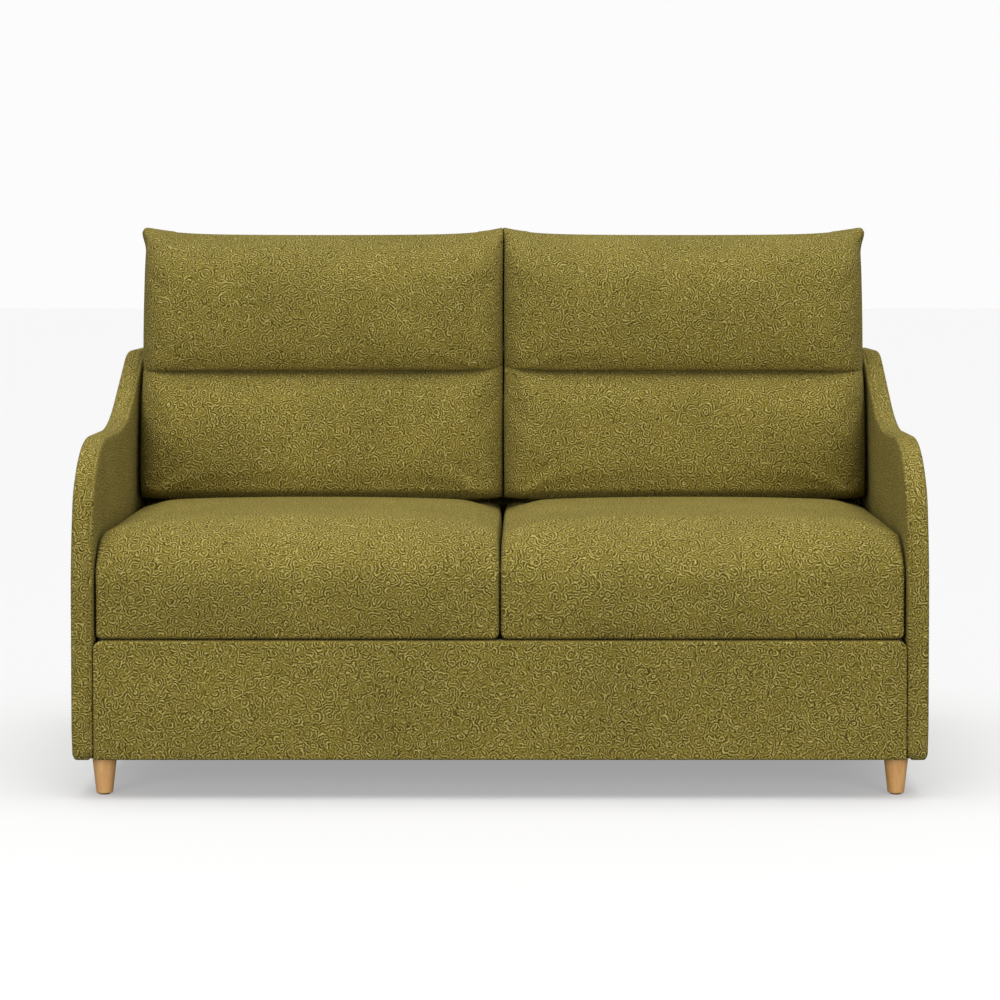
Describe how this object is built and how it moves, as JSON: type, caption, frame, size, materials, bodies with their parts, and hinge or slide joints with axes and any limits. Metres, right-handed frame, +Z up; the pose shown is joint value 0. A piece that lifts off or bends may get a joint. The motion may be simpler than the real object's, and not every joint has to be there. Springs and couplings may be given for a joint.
{
  "type": "two-seat sofa",
  "caption": "Two-seat upholstered sofa with thin shaped arms, loose seat cushions, tall two-chamber back cushions and short tapered wooden legs.",
  "frame": {"origin": "on the floor under the middle of the sofa", "axes": "+X to the right seen from the front, +Y to the rear, +Z up; left is the -X side seen from the front"},
  "size_m": [1.5, 0.9, 1.0045],
  "materials": {
    "upholstery": "curly boucle upholstery fabric, olive green",
    "foam": "open-cell foam and fibre filling",
    "felt": "needled felt",
    "platform_cloth": "woven platform lining",
    "dust_cloth": "spun-bonded dust cloth",
    "webbing": "elastic webbing",
    "hardboard": "tempered hardboard",
    "beech": "turned beech, satin lacquer",
    "nylon": "moulded nylon",
    "spring_steel": "oil-tempered steel wire",
    "zinc_steel": "zinc-plated steel",
    "particle_board": "particle board",
    "pine": "planed pine",
    "zip_tape": "woven zip tape with nylon coil",
    "zip_metal": "die-cast zip slider"
  },
  "bodies": {
    "frame": {"apron_cover": "upholstery", "apron_foam": "foam", "arm_cover_left": "upholstery", "arm_cover_right": "upholstery", "arm_foam_left": "foam", "arm_foam_right": "foam", "arm_panel_left": "particle_board", "arm_panel_right": "particle_board", "back_board": "hardboard", "back_bottom_rail": "pine", "back_centre_post": "pine", "back_foam": "foam", "back_post_left": "pine", "back_post_right": "pine", "back_top_board": "pine", "back_top_rail": "pine", "back_webbing": "webbing", "base_centre_rail": "pine", "base_front_rail": "pine", "base_rear_rail": "pine", "base_side_rail_left": "pine", "base_side_rail_right": "pine", "base_spring_rail": "pine", "bolt_washers": "zinc_steel", "corner_blocks": "pine", "deck_cover": "platform_cloth", "deck_pad": "felt", "dust_cover": "dust_cloth", "hex_bolts": "zinc_steel", "inner_back_cover": "upholstery", "leg_bolts": "zinc_steel", "leg_front_left": "beech", "leg_front_right": "beech", "leg_glides": "nylon", "leg_plate_screws": "zinc_steel", "leg_plates": "zinc_steel", "leg_rear_left": "beech", "leg_rear_right": "beech", "outer_back_cover": "upholstery", "seat_springs": "spring_steel", "spring_clips": "spring_steel", "t_nuts": "zinc_steel"},
    "back_cushion_left": {"back_cushion_left_cover": "upholstery", "back_cushion_left_lower_core": "foam", "back_cushion_left_upper_core": "foam", "back_cushion_left_zip": "zip_tape"},
    "back_cushion_left_zip_slider": {"back_cushion_left_zip_slider": "zip_metal"},
    "back_cushion_right": {"back_cushion_right_cover": "upholstery", "back_cushion_right_lower_core": "foam", "back_cushion_right_upper_core": "foam", "back_cushion_right_zip": "zip_tape"},
    "back_cushion_right_zip_slider": {"back_cushion_right_zip_slider": "zip_metal"},
    "seat_cushion_left": {"seat_cushion_left_core": "foam", "seat_cushion_left_cover": "upholstery", "seat_cushion_left_zip": "zip_tape"},
    "seat_cushion_left_zip_slider": {"seat_cushion_left_zip_slider": "zip_metal"},
    "seat_cushion_right": {"seat_cushion_right_core": "foam", "seat_cushion_right_cover": "upholstery", "seat_cushion_right_zip": "zip_tape"},
    "seat_cushion_right_zip_slider": {"seat_cushion_right_zip_slider": "zip_metal"}
  },
  "joints": [
    {"name": "seat_cushion_left_slide", "type": "slide", "parent": "frame", "child": "seat_cushion_left", "axis": [0, -1, 0], "range_m": [0, 0.3]},
    {"name": "back_cushion_left_lift", "type": "slide", "parent": "frame", "child": "back_cushion_left", "axis": [0, 0.1908, 0.9816], "range_m": [0, 0.3]},
    {"name": "seat_cushion_left_zip", "type": "slide", "parent": "seat_cushion_left", "child": "seat_cushion_left_zip_slider", "axis": [-1, 0, 0], "range_m": [0, 0.54]},
    {"name": "back_cushion_left_zip", "type": "slide", "parent": "back_cushion_left", "child": "back_cushion_left_zip_slider", "axis": [-1, 0, 0], "range_m": [0, 0.5]},
    {"name": "seat_cushion_right_slide", "type": "slide", "parent": "frame", "child": "seat_cushion_right", "axis": [0, -1, 0], "range_m": [0, 0.3]},
    {"name": "back_cushion_right_lift", "type": "slide", "parent": "frame", "child": "back_cushion_right", "axis": [0, 0.1908, 0.9816], "range_m": [0, 0.3]},
    {"name": "seat_cushion_right_zip", "type": "slide", "parent": "seat_cushion_right", "child": "seat_cushion_right_zip_slider", "axis": [1, 0, 0], "range_m": [0, 0.54]},
    {"name": "back_cushion_right_zip", "type": "slide", "parent": "back_cushion_right", "child": "back_cushion_right_zip_slider", "axis": [1, 0, 0], "range_m": [0, 0.5]}
  ]
}
